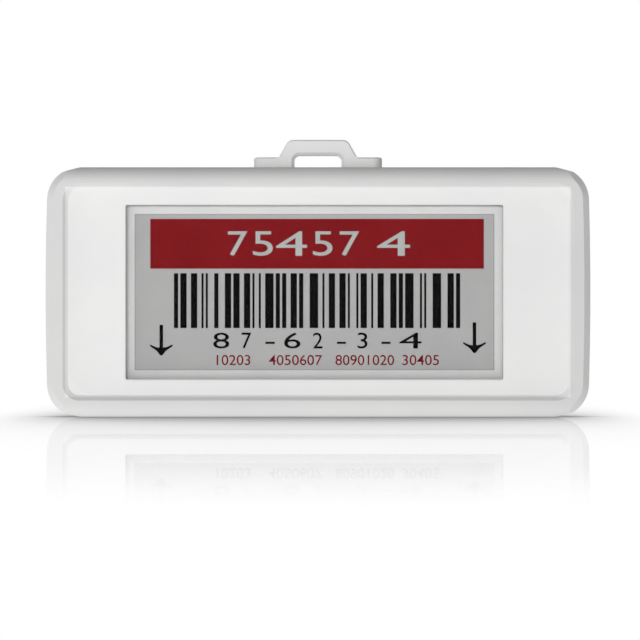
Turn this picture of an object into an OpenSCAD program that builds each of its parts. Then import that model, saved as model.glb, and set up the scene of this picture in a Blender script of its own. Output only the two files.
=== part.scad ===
// Passive NFC e-paper tag: a slim white case that stands or hangs, with a 2.9 inch e-paper
// panel behind a clear lens, a printed antenna coil in place of a battery, and a plug-in
// hanging loop in the top edge. Lengths are millimetres.
//
// The case is drawn lying on its back: X to the right and Y up the face, both from the middle
// of the face, Z from the back towards the reader. upright() stands it on its lower long edge.

/* [Case] */
// Width over the bowed ends
case_w = 101; // [100.8:0.2:106]
// Height between the two long edges
case_h = 46.4; // [46:0.2:50]
// Depth from the back to the crest of the front rim
case_t = 9.6; // [9.4:0.1:11]
// Radius of the outer corners, seen from the front
corner_r = 6.2; // [5.8:0.1:6.6]
// How far each short end bows outwards
end_bow = 0.25; // [0.15:0.05:0.35]
// Length of the flat that leads each long edge into its corner
corner_flat = 3.3; // [2.4:0.1:4]
// Thickness of the moulded side walls
wall = 1.5; // [1.4:0.05:1.6]
// Thickness of the face round the window
face_t = 1.3; // [1.1:0.05:1.4]
// Thickness of the back
back_t = 1.5; // [1.3:0.05:1.6]
// Bevel round the back
back_bevel = 0.7; // [0.4:0.1:1]
// Height of the shadow line between the shells
seam_gap = 0.25; // [0.15:0.05:0.35]
// Depth of the shadow line
seam_depth = 0.4; // [0.2:0.1:0.6]

/* [Front rim] */
// Radius that the rim rolls over to the long edges
roll_r = 3; // [2.6:0.1:3.1]
// Bevel round the ends and corners
end_bevel = 1.2; // [0.9:0.1:1.5]
// Width of the rim, edge to step
rim_w = 3.1; // [2.8:0.1:3.2]
// Width of the sloping step inside the rim
step_w = 0.95; // [0.7:0.05:1.2]
// Drop of that step
step_drop = 0.8; // [0.7:0.05:0.9]
// Width of the soft dish inside the step
dish_w = 5.2; // [4:0.2:6.5]
// Drop of the dish
dish_drop = 0.35; // [0.25:0.05:0.4]

/* [Window and lens] */
// Width of the window
window_w = 70; // [69:0.2:71]
// Height of the window
window_h = 32.3; // [31.5:0.1:33]
// Window centre, left of the case's middle, which leaves room for the flex
window_left = 0.65; // [0.3:0.05:0.9]
// Corner radius of the window
window_r = 0.3; // [0.2:0.05:0.5]
// Bevel that breaks the window's edge
window_bevel = 0.15; // [0.1:0.05:0.2]
// Gap between the window and the lens
lens_gap = 0.1; // [0.05:0.05:0.2]
// How far the lens sits below the face
lens_sink = 0.2; // [0.1:0.05:0.3]
// Lip of the lens behind the face
lens_lip = 1.6; // [1.4:0.1:1.7]
// Thickness of that lip
lens_lip_t = 0.5; // [0.4:0.05:0.6]
// Thickness of the lens tape
lens_tape_t = 0.15; // [0.1:0.05:0.2]

/* [Display] */
// Width of the picture area
picture_w = 66.9; // [66:0.1:67.5]
// Height of the picture area
picture_h = 29.06; // [28.5:0.02:29.5]
// Border of ink film round the picture area
ink_border = 1.9; // [1.7:0.1:2]
// Width of the seal round the ink film
seal_w = 0.5; // [0.3:0.1:0.6]
// Thickness of the protective film
film_t = 0.15; // [0.1:0.05:0.2]
// Thickness of the ink film
ink_t = 0.2; // [0.15:0.05:0.25]
// Thickness of the glass backplane
glass_t = 0.5; // [0.4:0.05:0.55]
// Height of the glass
glass_h = 36.7; // [36.2:0.1:37]
// Glass beyond the picture area on the plain side
glass_margin = 3.4; // [3.1:0.1:3.6]
// Glass beyond the picture area on the ledge that carries the driver
glass_ledge = 8.7; // [8.5:0.1:8.8]
// Length of the driver chip
driver_l = 22; // [16:1:26]
// Width of the driver chip
driver_w = 1.1; // [0.9:0.1:1.2]
// Thickness of the foam behind the glass
foam_t = 0.5; // [0.4:0.05:0.6]
// How far the foam stays inside the glass
foam_inset = 1.4; // [1:0.1:2]
// Width of the flex
flex_w = 14; // [12:0.5:15]
// Thickness of the flex
flex_t = 0.1; // [0.08:0.01:0.12]
// Length of flex bonded to the ledge
flex_bond = 2.4; // [2:0.1:2.6]
// Bend radius of the flex, to its middle
flex_bend_r = 0.8; // [0.6:0.05:0.9]
// How far the flex reaches past the glass
flex_reach = 2.5; // [2.2:0.1:2.6]
// Room round the flex in the board and the carrier
flex_room = 0.8; // [0.6:0.1:1]

/* [Carrier] */
// Thickness of the carrier's plate
carrier_t = 0.7; // [0.6:0.05:0.8]
// Thickness of its lips
lip_t = 0.9; // [0.7:0.05:0.95]
// How far the lips stand above the glass
lip_rise = 0.1; // [0.05:0.05:0.2]
// Gap between the lips and the glass
glass_gap = 0.2; // [0.15:0.05:0.25]
// Corner radius of the plate
carrier_r = 3; // [2.6:0.1:3.4]

/* [Board] */
// Thickness of the board
board_t = 0.8; // [0.7:0.05:0.85]
// Gap between the board and the rear cover's walls
board_gap = 0.85; // [0.7:0.05:1]
// Corner radius of the board
board_r = 1.5; // [1:0.1:2]
// Thickness of the ferrite sheet
ferrite_t = 0.25; // [0.2:0.05:0.3]
// Margin of board round the ferrite sheet
ferrite_inset = 0.9; // [0.6:0.1:1.1]
// Shank radius of the screws
screw_r = 0.8; // [0.7:0.02:0.86]
// Head radius of the screws
screw_head_r = 1.4; // [1.2:0.05:1.5]
// Head height of the screws
screw_head_h = 0.65; // [0.5:0.05:0.8]
// Depth of screw in its boss
screw_grip = 1.6; // [1.4:0.05:1.8]
// Distance from the screws to the board's ends
screw_inset = 2; // [1.9:0.05:2.1]
// Distance from the screws to the board's long edges
screw_side = 4.1; // [3.5:0.1:5]
// Radius of the bosses
boss_r = 2.1; // [1.9:0.05:2.1]
// Gap between a screw and its holes
screw_gap = 0.05; // [0.03:0.01:0.08]

/* [Antenna] */
// Turns of the coil
coil_turns = 5; // [3:1:6]
// Pitch of the turns
coil_pitch = 0.9; // [0.8:0.05:1]
// Width of the copper track
coil_w = 0.5; // [0.4:0.05:0.6]
// Thickness of the copper track
coil_t = 0.07; // [0.04:0.01:0.1]
// Margin of board outside the coil
coil_inset = 1.2; // [1:0.1:1.5]

/* [Chips] */
// Side of the controller chip
controller_w = 5; // [4:0.5:6]
// Height of the controller chip
controller_h = 0.85; // [0.7:0.05:1]
// Side of the NFC chip
nfc_w = 3; // [2.5:0.25:3.5]
// Height of the NFC chip
nfc_h = 0.6; // [0.5:0.05:0.8]
// Side of the boost inductor
inductor_w = 4; // [3.6:0.1:4.2]
// Height of the boost inductor
inductor_h = 1.2; // [1:0.05:1.3]
// Length of a storage capacitor
storage_l = 3.2; // [2.8:0.1:3.4]
// Width and height of a storage capacitor
storage_w = 1.3; // [1.1:0.05:1.4]
// Length of a small chip part
chip_l = 1; // [0.8:0.05:1.1]
// Width of a small chip part
chip_w = 0.5; // [0.4:0.05:0.6]
// Length of a diode's body
diode_l = 1.7; // [1.4:0.1:1.9]
// Width of a diode's body
diode_w = 1.25; // [1:0.05:1.3]
// Height of a diode and of the transistor
diode_h = 0.9; // [0.7:0.05:1]

/* [Connector] */
// Length of the flex connector
connector_l = 17.4; // [16.8:0.1:18]
// Width of the connector, along the flex
connector_w = 3.4; // [3.2:0.1:3.6]
// Height of the connector
connector_h = 1; // [0.9:0.05:1.1]
// How far the flex goes in
connector_grip = 1.9; // [1.6:0.1:2.1]
// Width of the connector's latch
latch_w = 1.2; // [1:0.05:1.3]

/* [Hanger] */
// Width of the flange that seats on the case
hanger_w = 23.9; // [23:0.1:26]
// Thickness of the flange and loop
hanger_t = 3.6; // [3.3:0.1:3.7]
// Height of the flange above the case
flange_rise = 1.95; // [1.6:0.05:2.2]
// Depth of the seat that the flange sinks into
seat_depth = 0.8; // [0.6:0.05:0.9]
// Height of the loop above the case
loop_rise = 5.2; // [5:0.1:7]
// Width of the loop across its top, before its corners are rounded
loop_top_w = 11; // [10.8:0.1:11.6]
// Width of the loop where it meets the flange
loop_foot_w = 14.6; // [14:0.1:16]
// Radius of the loop's upper corners
loop_r = 1.5; // [1.2:0.1:1.8]
// Radius where the loop runs into the flange
loop_fillet_r = 1.1; // [0.6:0.1:1.3]
// Width of the strap slot
slot_w = 8.8; // [8:0.1:9]
// Height of the strap slot above the case
slot_rise = 2.3; // [2:0.05:2.5]
// Radius of the slot's upper corners
slot_r = 1; // [0.6:0.1:1.3]
// Bevel round the slot
slot_bevel = 0.55; // [0.3:0.05:0.6]
// Bevel round the outside of the loop
loop_bevel = 0.25; // [0.15:0.05:0.35]
// Width of the stem in the case
stem_w = 18; // [17:0.1:18.4]
// Thickness of the stem
stem_t = 2.1; // [1.9:0.05:2.2]
// Length of the stem below the flange
stem_l = 6.6; // [6:0.1:7]
// Width of the slits that free the stem's two spring arms
slit_w = 0.8; // [0.6:0.1:1]
// Width of each spring arm
arm_w = 2.6; // [2.2:0.1:3]
// Clearance of the stem in its pocket
slide_gap = 0.1; // [0.06:0.01:0.12]
// Clearance round the flange in its seat
seat_gap = 0.25; // [0.15:0.05:0.3]

/* [Joint between the shells] */
// Height of the parting line above the carrier's back
part_rise = 1.15; // [1.1:0.05:1.2]
// Thickness of the rear cover's tongue
tongue_t = 0.8; // [0.7:0.05:0.85]
// Height of the tongue
tongue_h = 1; // [0.9:0.05:1.1]
// Gap between the tongue and the front shell
tongue_gap = 0.1; // [0.08:0.01:0.15]
// Length of a snap bead
bead_l = 8; // [6:0.5:9]
// How far a bead reaches into its groove
bead_reach = 0.2; // [0.12:0.02:0.26]
// Height of a bead
bead_h = 0.4; // [0.3:0.05:0.45]

/* [Hidden] */
$fn = 96;

// Facets of a full turn of the long bow, so that its short arc is still drawn round
bow_fn = 2880;
// Overrun of every cut
over = 0.5;

// Half sizes of the case
half_w = case_w / 2;
half_h = case_h / 2;

// Depths, from the crest of the rim back to the board
z_foot = case_t - step_drop;
z_face = z_foot - dish_drop;
z_ceiling = z_face - face_t;
z_lip_top = z_ceiling - lens_tape_t;
z_film_top = z_lip_top - lens_lip_t;
z_ink_top = z_film_top - film_t;
z_glass_top = z_ink_top - ink_t;
z_foam_top = z_glass_top - glass_t;
z_plate_top = z_foam_top - foam_t;
z_carrier = z_plate_top - carrier_t;
z_board_top = z_carrier - ferrite_t;
z_board = z_board_top - board_t;
z_part = z_carrier + part_rise;

// Plan of the corners: each corner arc starts where the long bow of the end stops
corner_y = half_h - corner_r;
bow_r = (corner_y * corner_y + end_bow * end_bow) / (2 * end_bow);
bow_x = half_w - bow_r;
corner_x = half_w - end_bow - corner_r;
corner_flat_drop = corner_r - sqrt(corner_r * corner_r - corner_flat * corner_flat);
flat_slope = corner_flat_drop / corner_flat;

// Step and dish of the face, measured inwards from the outline
foot_u = rim_w + step_w;
foot_w = case_w - end_bow - 2 * foot_u;
foot_h = case_h - 2 * foot_u;
dish_r = (dish_w * dish_w + dish_drop * dish_drop) / (2 * dish_drop);

// Inside of the two shells
inner_w = case_w - 2 * (wall + end_bow);
inner_h = case_h - 2 * wall;
inner_r = corner_r - wall;
tongue_in = tongue_gap + tongue_t;
room_w = inner_w - 2 * tongue_in;
room_h = inner_h - 2 * tongue_in;
room_r = inner_r - tongue_in;

// Display, from the picture area outwards
window_x = -window_left;
ink_w = picture_w + 2 * ink_border;
ink_h = picture_h + 2 * ink_border;
film_w = ink_w + 2 * seal_w;
film_h = ink_h + 2 * seal_w;
glass_left = window_x - picture_w / 2 - glass_margin;
glass_right = window_x + picture_w / 2 + glass_ledge;
glass_w = glass_right - glass_left;
glass_x = (glass_left + glass_right) / 2;
film_right = window_x + film_w / 2;
driver_t_share = 0.85;
driver_t = driver_t_share * (ink_t + film_t);
driver_place_share = 0.4;
driver_x = film_right + driver_place_share * (glass_right - flex_bond - film_right);
flex_x = glass_right + flex_reach;
notch_x = flex_x - flex_room;
notch_w = flex_w + 2 * flex_room;

// Hanger and its pocket
hanger_r = hanger_t / 2;
seat_wall_t = 0.4;
hanger_front = z_part - seat_wall_t - seat_gap;
hanger_z = hanger_front - hanger_r;
seat_y = half_h - seat_depth;
stem_front = z_carrier - slide_gap;
stem_back = stem_front - stem_t;
stem_end_y = seat_y - stem_l;
guide_t = 0.9;
arm_r = 0.8;
slit_l_share = 0.82;

// Board and screws
board_w = room_w - 2 * board_gap;
board_bottom_gap = 1.8;
board_low = board_bottom_gap - room_h / 2;
board_high = stem_end_y - 2 * guide_t;
board_h = board_high - board_low;
board_y = (board_high + board_low) / 2;
screw_x = board_w / 2 - screw_inset;
screw_dy = board_h / 2 - screw_side;
carrier_h = glass_h + 2 * (glass_gap + lip_t);
fence_t = 0.8;
fence_gap = 0.2;

// Antenna: where the coil's corners stand, as shares of the board, right of its middle
coil_right_share = 0.33;
coil_left = coil_inset + coil_w - board_w / 2 + 2 * screw_inset;
coil_right = coil_right_share * board_w;
coil_top = board_high - coil_inset;
coil_low = board_low + coil_inset;

// Places of the parts on the board, as shares of its width and height from its middle
nfc_place_share = [0.13, 0.02];
controller_place_share = [0.215, 0.02];
inductor_place_share = [0.215, 0.24];
transistor_place_share = [0.15, 0.25];
diode_place_shares = [[0.1, 0.25], [0.1, -0.24], [0.15, -0.24]];
storage_place_shares = [[0.2, -0.25], [0.25, -0.25], [0.05, 0.25], [0.05, -0.25]];
capacitor_pitch_share = 0.055;
capacitor_count = 9;
resistor_place_shares = [[0.17, 0.13], [0.17, 0.06], [0.17, -0.02], [0.17, -0.1], [0.11, 0.13], [0.11, -0.1]];
capacitor_x_share = 0.365;
connector_edge = 1;
connector_x = notch_x - connector_w / 2 - connector_edge;
connector_play_share = 0.05;
flex_side_share = 0.07;
flex_entry_share = 0.45;
flex_z = z_board - flex_entry_share * connector_h;

// Stands the part up, its back towards +Y and its lower edge on the ground
module upright() {
    translate([0, case_t / 2, half_h]) rotate([90, 0, 0]) children();
}

// Extrudes a (y, z) section along x, and an (x, z) section along y, about the middle
module along_x(length) {
    translate([-length / 2, 0, 0]) rotate([90, 0, 90]) linear_extrude(length) children();
}
module along_y(length) {
    translate([0, length / 2, 0]) rotate([90, 0, 0]) linear_extrude(length) children();
}

// Copies in the mirrored half or in all four quarters
module both_ways(v) {
    children();
    mirror(v) children();
}
module four_ways() {
    both_ways([1, 0, 0]) both_ways([0, 1, 0]) children();
}

// Rounded rectangle
module rounded(w, h, r) {
    square([w - 2 * r, h], center = true);
    square([w, h - 2 * r], center = true);
    for (x = [-1, 1], y = [-1, 1])
        translate([x * (w / 2 - r), y * (h / 2 - r)]) circle(r);
}

// Rounded plate from z0 to z1
module plate(w, h, r, z0, z1) {
    translate([0, 0, z0]) linear_extrude(z1 - z0) rounded(w, h, r);
}

// Square-cornered plate from z0 to z1
module slab(w, h, z0, z1) {
    translate([-w / 2, -h / 2, z0]) cube([w, h, z1 - z0]);
}

// Flared cut: a rounded rectangle at z0 that grows by `flare` on every side up to z1
module flared(w, h, r, flare, z0, z1) {
    rise = z1 - z0;
    for (x = [-1, 1], y = [-1, 1])
        translate([x * (w / 2 - r), y * (h / 2 - r), z0]) cylinder(rise, r, r + flare);
    along_y(h - 2 * r) polygon([[-w / 2, z0], [w / 2, z0], [w / 2 + flare, z1], [-w / 2 - flare, z1]]);
    along_x(w - 2 * r) polygon([[-h / 2, z0], [h / 2, z0], [h / 2 + flare, z1], [-h / 2 - flare, z1]]);
}

// Edge section, drawn with x inwards from the outline and y up the depth, set with its
// outline at x = r and kept down to x = low
module edge_at(r, low) {
    intersection() {
        translate([r, 0]) mirror([1, 0]) children();
        translate([low, -case_t]) square([r - low, 3 * case_t]);
    }
}

// Plan of the flat that leads a long edge into its corner: what it cuts off the corner
module corner_flat_plan() {
    reach = half_w + corner_r;
    polygon([[corner_x, half_h], [corner_x, half_h + over], [reach, half_h + over],
        [reach, half_h - flat_slope * (reach - corner_x)]]);
}
module corner_flats() {
    four_ways() translate([0, 0, -over]) linear_extrude(case_t + 2 * over) corner_flat_plan();
}

// Turned solid whose edge is the front shell's end: wall and bevel
module end_post(r) {
    rotate_extrude($fn = r > case_w ? bow_fn : $fn)
        polygon([[0, z_part - 2 * over], [r, z_part - 2 * over], [r, case_t - end_bevel],
            [r - end_bevel - 2 * over, case_t + 2 * over], [0, case_t + 2 * over]]);
}

// Section of the dish, from the foot of the step: an arc that runs out into the flat face
module dish_section() {
    intersection() {
        translate([dish_w, z_face + dish_r]) circle(dish_r, $fn = 4 * $fn);
        translate([0, z_face]) square([dish_w, step_drop]);
    }
    translate([dish_w, z_face]) square([case_w, step_drop]);
}

// Section of what is cut off a long edge to leave its roll
module roll_section() {
    difference() {
        translate([half_h - roll_r, case_t - roll_r]) square(roll_r + over);
        translate([half_h - roll_r, case_t - roll_r]) circle(roll_r);
    }
}

// Places of the four screws
module at_screws() {
    for (x = [-1, 1], y = [-1, 1])
        translate([x * screw_x, board_y + y * screw_dy, 0]) children();
}

// Snap beads on the tongue, or their grooves with some room: two on each long side, one an end
module beads(reach, height, length) {
    z = z_part + tongue_h / 2;
    tongue_w = inner_w - 2 * tongue_gap;
    tongue_y = inner_h - 2 * tongue_gap;
    section = [[-over, -height / 2], [0, -height / 2], [reach, 0], [0, height / 2], [-over, height / 2]];
    bead_x_share = 0.27;
    both_ways([0, 1, 0]) for (x = [-1, 1])
        translate([x * bead_x_share * case_w, tongue_y / 2, z]) along_x(length) polygon(section);
    both_ways([1, 0, 0]) translate([tongue_w / 2, 0, z]) along_y(length) polygon(section);
}

// Front shell: rim, dished face and window outside, bosses and lens fence inside
// Block of a shell from z0 to z1, cut in turn to the bow of its ends and to its corners. The
// first child is the post that shapes the bow, the second the post that shapes a corner.
module shell_block(z0, z1) {
    reach = corner_r + over;
    high = z1 - z0 + 2 * over;
    difference() {
        difference() {
            slab(case_w, case_h, z0, z1);
            both_ways([1, 0, 0]) difference() {
                translate([corner_x, -corner_y, z0 - over]) cube([reach, 2 * corner_y, high]);
                translate([bow_x, 0, 0]) children(0);
            }
        }
        four_ways() difference() {
            translate([corner_x, corner_y, z0 - over]) cube([reach, reach, high]);
            translate([corner_x, corner_y, 0]) children(1);
        }
    }
}

// Front shell's block, with its long edges rolled and the corner flats cut
module front_block() {
    difference() {
        difference() {
            shell_block(z_part, case_t) {
                end_post(bow_r);
                end_post(corner_r);
            }
            along_x(2 * case_w) roll_section();
            mirror([0, 1, 0]) along_x(2 * case_w) roll_section();
        }
        corner_flats();
    }
}

// The same with the step inside its rim, then the dish inside the step
module front_face() {
    dish_end = dish_w + over;
    difference() {
        difference() {
            front_block();
            flared(foot_w, foot_h, corner_r - foot_u, 2 * step_w, z_foot, z_foot + 2 * step_drop);
        }
        four_ways() translate([foot_w / 2 - dish_end, foot_h / 2 - dish_end, 0])
            rotate_extrude() edge_at(dish_end, 0) dish_section();
        along_x(foot_w - 2 * dish_end) both_ways([1, 0, 0]) edge_at(foot_h / 2, -over) dish_section();
        along_y(foot_h - 2 * dish_end) both_ways([1, 0, 0]) edge_at(foot_w / 2, -over) dish_section();
    }
}

module front_shell() {
    pilot_r = screw_r + screw_gap;
    lens_w = window_w + 2 * lens_lip;
    lens_h = window_h + 2 * lens_lip;
    z_fence = z_lip_top - lens_lip_t / 2;
    color("#EAEAEA") upright() difference() {
        union() {
            difference() {
                front_face();
                plate(inner_w, inner_h, inner_r, z_part - over, z_ceiling);
                // snap grooves
                beads(bead_reach + tongue_gap + screw_gap, bead_h + 2 * tongue_gap, bead_l + 2 * tongue_gap);
            }
            // screw bosses, tied to the end walls by ribs
            at_screws() translate([0, 0, z_plate_top]) cylinder(z_ceiling + screw_gap - z_plate_top, boss_r, boss_r);
            // fence that places the lens
            translate([window_x, 0, 0]) difference() {
                slab(lens_w + 2 * (fence_gap + fence_t), lens_h + 2 * (fence_gap + fence_t), z_fence, z_ceiling + screw_gap);
                slab(lens_w + 2 * fence_gap, lens_h + 2 * fence_gap, z_fence - over, z_ceiling);
            }
        }
        // window with a broken edge
        translate([window_x, 0, 0]) {
            plate(window_w, window_h, window_r, z_ceiling - over, z_face + over);
            flared(window_w, window_h, window_r, window_bevel + step_drop, z_face - window_bevel, z_face + step_drop);
        }
        at_screws() translate([0, 0, z_plate_top - over])
            cylinder(screw_grip + screw_gap + over, pilot_r, pilot_r);
    }
}

// Turned solid whose edge is the rear cover's: wall and bevelled back edge
module back_post(r) {
    low = -2 * over;
    rotate_extrude($fn = r > case_w ? bow_fn : $fn)
        polygon([[0, low], [r - back_bevel + low, low], [r, back_bevel], [r, case_t], [0, case_t]]);
}

// Section of what is cut off a long edge of the back to bevel it
module back_edge_section() {
    reach = back_bevel + over;
    polygon([[half_h - reach, -over], [half_h + over, -over], [half_h + over, reach]]);
}

// Rear cover's block: walls, bevelled back edge, corner flats, and the neck that leaves the
// shadow line under the parting
module back_block() {
    difference() {
        difference() {
            shell_block(0, z_part - seam_gap) {
                back_post(bow_r);
                back_post(corner_r);
            }
            along_x(2 * case_w) back_edge_section();
            mirror([0, 1, 0]) along_x(2 * case_w) back_edge_section();
        }
        corner_flats();
    }
    plate(case_w - 2 * (end_bow + seam_depth), case_h - 2 * seam_depth, corner_r - seam_depth,
        z_part - 2 * seam_gap, z_part);
}

// Stadium outline of the hanger's flange, seen from above, grown by a gap
module flange_plan(grow) {
    length = hanger_w - hanger_t;
    translate([-length / 2, hanger_z - hanger_r - grow]) square([length, hanger_t + 2 * grow]);
    for (x = [-1, 1])
        translate([x * length / 2, hanger_z]) circle(hanger_r + grow);
}

// Extrudes an (x, z) plan upwards from y0 to y1
module rise_y(y0, y1) {
    translate([0, (y0 + y1) / 2, 0]) along_y(y1 - y0) children();
}

// Rear cover: tray with tongue and beads, hanger seat and pocket, board posts
module rear_cover() {
    guide_x = stem_w / 2 + slide_gap;
    guide_low = stem_end_y - 2 * slide_gap - guide_t;
    post_r = 1.3;
    post_bore_r = 0.6;
    post_shares = [[-0.3, 0.15], [-0.3, -0.2], [-0.08, 0.15], [-0.08, -0.2]];
    pad_recess = 0.3;
    pad_side = 10;
    pad_end = 14;
    pad_r = 3;
    color("#E6E6E6") upright() difference() {
        union() {
            difference() {
                union() {
                    back_block();
                    plate(inner_w - 2 * tongue_gap, inner_h - 2 * tongue_gap, inner_r - tongue_gap,
                        z_part - seam_gap, z_part + tongue_h);
                    beads(bead_reach + tongue_gap, bead_h, bead_l);
                }
                plate(room_w, room_h, room_r, back_t, z_part + tongue_h + over);
            }
            // posts under the board
            for (p = post_shares)
                translate([p[0] * board_w, board_y + p[1] * board_h, back_t - over])
                    cylinder(z_board - back_t + over, post_r, post_r);
            // pocket that guides the hanger's stem
            intersection() {
                plate(room_w + over, room_h + over, room_r, back_t - over, z_carrier);
                translate([-guide_x - guide_t, guide_low, back_t - over])
                    cube([2 * (guide_x + guide_t), half_h - guide_low, stem_front - back_t + over]);
            }
        }
        // inside of the pocket, and the slot through the top wall
        translate([-guide_x, stem_end_y - 2 * slide_gap, stem_back - slide_gap])
            cube([2 * guide_x, half_h, stem_t + 2 * slide_gap]);
        // seat for the flange
        rise_y(seat_y, half_h + over) flange_plan(seat_gap);
        // blind bores of the posts
        for (p = post_shares)
            translate([p[0] * board_w, board_y + p[1] * board_h, back_t]) cylinder(z_board, post_bore_r, post_bore_r);
        // shallow field for a mounting pad
        plate(case_w - 2 * pad_end, case_h - 2 * pad_side, pad_r, -over, pad_recess);
    }
}

// Corner geometry: tangent length and centre of an arc of radius r at corner p from a to b
function unit(v) = v / norm(v);
function tangent_l(a, p, b, r) =
    let (c = unit(a - p) * unit(b - p)) r * sqrt((1 + c) / (1 - c));
function arc_centre(a, p, b, r) =
    p + unit(unit(a - p) + unit(b - p)) * norm([tangent_l(a, p, b, r), r]);
function toward(p, a, l) = p + unit(a - p) * l;

// Wedge that bevels the straight edge from a to b, material on its left, at height z
module edge_wedge(a, b, z, c) {
    d = b - a;
    translate([a[0], a[1], z]) rotate([0, 0, atan2(d[1], d[0])]) rotate([90, 0, 90])
        linear_extrude(norm(d)) polygon([[c, 0], [0, -c], [-c, -c], [-c, c], [c, c]]);
}

// Wedge that bevels an arc's edge, material inside (out = 1) or outside (out = -1) of it
module arc_wedge(centre, r, from, turn, z, c, out) {
    translate([centre[0], centre[1], z]) rotate([0, 0, from]) rotate_extrude(angle = turn)
        translate([r, 0]) polygon([[-out * c, 0], [0, -c], [out * c, -c], [out * c, c], [-out * c, c]]);
}

// Hanger: flange on the case, loop with a strap slot above, split stem below
module hanger() {
    flange_top = half_h + flange_rise;
    loop_top = half_h + loop_rise;
    slot_top = half_h + slot_rise;
    slot_low = half_h - seat_depth / 4;
    top_x = loop_top_w / 2;
    foot_x = loop_foot_w / 2;
    z_front = hanger_z + hanger_r;
    end_x = hanger_w / 2 - hanger_r;
    // right half of the loop's outline: top, slope and foot
    mid = [0, loop_top];
    top = [top_x, loop_top];
    foot = [foot_x, flange_top];
    side = [end_x, flange_top];
    top_c = arc_centre(mid, top, foot, loop_r);
    top_l = tangent_l(mid, top, foot, loop_r);
    foot_c = arc_centre(top, foot, side, loop_fillet_r);
    foot_l = tangent_l(top, foot, side, loop_fillet_r);
    slope = foot - top;
    slope_out = atan2(slope[1], slope[0]) + 90;
    crown_l = loop_top - slot_top;
    color("#DCDCDC") upright() difference() {
        union() {
            // flange with a bevelled top edge and round ends
            along_x(2 * end_x) translate([0, hanger_z]) polygon([
                [seat_y, -hanger_r], [seat_y, hanger_r], [flange_top - loop_bevel, hanger_r],
                [flange_top, hanger_r - loop_bevel], [flange_top, loop_bevel - hanger_r],
                [flange_top - loop_bevel, -hanger_r]]);
            for (x = [-1, 1]) translate([x * end_x, seat_y, hanger_z]) rotate([-90, 0, 0]) {
                cylinder(flange_top - loop_bevel - seat_y, hanger_r, hanger_r);
                translate([0, 0, flange_top - loop_bevel - seat_y])
                    cylinder(loop_bevel, hanger_r, hanger_r - loop_bevel);
            }
            // loop, its corners rounded and its feet filleted into the flange
            difference() {
                translate([0, 0, hanger_z - hanger_r]) linear_extrude(hanger_t) {
                    both_ways([1, 0]) {
                        polygon([[0, half_h], mid, toward(top, mid, top_l), toward(top, foot, top_l),
                            foot, [foot_x, half_h]]);
                        translate(top_c) circle(loop_r);
                        difference() {
                            polygon([toward(foot, top, foot_l), foot, toward(foot, side, foot_l),
                                [foot[0] + foot_l, half_h], [foot_x - crown_l, half_h]]);
                            translate(foot_c) circle(loop_fillet_r);
                        }
                    }
                }
                for (m = [0, 1]) translate([0, 0, m * 2 * hanger_z]) mirror([0, 0, m])
                    both_ways([1, 0, 0]) {
                        edge_wedge(toward(top, mid, top_l), mid, z_front, loop_bevel);
                        edge_wedge(toward(foot, top, foot_l), toward(top, foot, top_l), z_front, loop_bevel);
                        arc_wedge(top_c, loop_r, slope_out, 90 - slope_out, z_front, loop_bevel, 1);
                        arc_wedge(foot_c, loop_fillet_r, slope_out + 180, 90 - slope_out, z_front, loop_bevel, -1);
                    }
            }
            // stem
            translate([-stem_w / 2, stem_end_y + arm_r, stem_back])
                cube([stem_w, seat_y - stem_end_y - arm_r + slot_bevel, stem_t]);
            translate([0, 0, stem_back]) linear_extrude(stem_t) {
                translate([arm_r - stem_w / 2, stem_end_y]) square([stem_w - 2 * arm_r, stem_l]);
                for (x = [-1, 1]) translate([x * (stem_w / 2 - arm_r), stem_end_y + arm_r]) circle(arm_r);
            }
        }
        // strap slot
        translate([0, 0, hanger_z - hanger_r - over]) linear_extrude(hanger_t + 2 * over) {
            translate([-slot_w / 2, slot_low]) square([slot_w, slot_top - slot_r - slot_low]);
            translate([slot_r - slot_w / 2, slot_low]) square([slot_w - 2 * slot_r, slot_top - slot_low]);
            for (x = [-1, 1]) translate([x * (slot_w / 2 - slot_r), slot_top - slot_r]) circle(slot_r);
        }
        for (m = [0, 1]) translate([0, 0, m * 2 * hanger_z]) mirror([0, 0, m]) slot_flare(z_front, slot_low, slot_top);
        // slits that free the arms, open at the end of the stem
        both_ways([1, 0, 0]) translate([stem_w / 2 - arm_w - slit_w, stem_end_y - over, stem_back - over])
            cube([slit_w, slit_l_share * stem_l + over, stem_t + 2 * over]);
    }
}

// Bevel of the strap slot at one face
module slot_flare(z, low, high) {
    z0 = z - slot_bevel;
    z1 = z + over;
    flare = slot_bevel + over;
    for (x = [-1, 1])
        translate([x * (slot_w / 2 - slot_r), high - slot_r, z0]) cylinder(z1 - z0, slot_r, slot_r + flare);
    translate([0, (low + high - slot_r) / 2, 0]) along_y(high - slot_r - low)
        polygon([[-slot_w / 2, z0], [slot_w / 2, z0], [slot_w / 2 + flare, z1], [-slot_w / 2 - flare, z1]]);
    along_x(slot_w - 2 * slot_r)
        polygon([[low, z0], [high, z0], [high + flare, z1], [low, z1]]);
}

// Clear lens: lip behind the face, raised part in the window
module window_lens() {
    r = window_r + lens_lip;
    color("#DDE6EA", 0.35) upright() translate([window_x, 0, 0]) {
        plate(window_w + 2 * lens_lip, window_h + 2 * lens_lip, r, z_film_top, z_lip_top);
        plate(window_w - 2 * lens_gap, window_h - 2 * lens_gap, window_r, z_film_top, z_face - lens_sink);
    }
}

// Adhesive frame between the lens's lip and the face
module lens_tape() {
    color("#F4F4F0") upright() translate([window_x, 0, 0]) difference() {
        plate(window_w + 2 * lens_lip, window_h + 2 * lens_lip, window_r + lens_lip, z_lip_top, z_ceiling);
        plate(window_w, window_h, window_r, z_lip_top - over, z_ceiling + over);
    }
}

// Clear film over the ink
module protective_film() {
    color("#E8E8E8", 0.5) upright() translate([window_x, 0, 0]) slab(film_w, film_h, z_ink_top, z_film_top);
}

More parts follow.
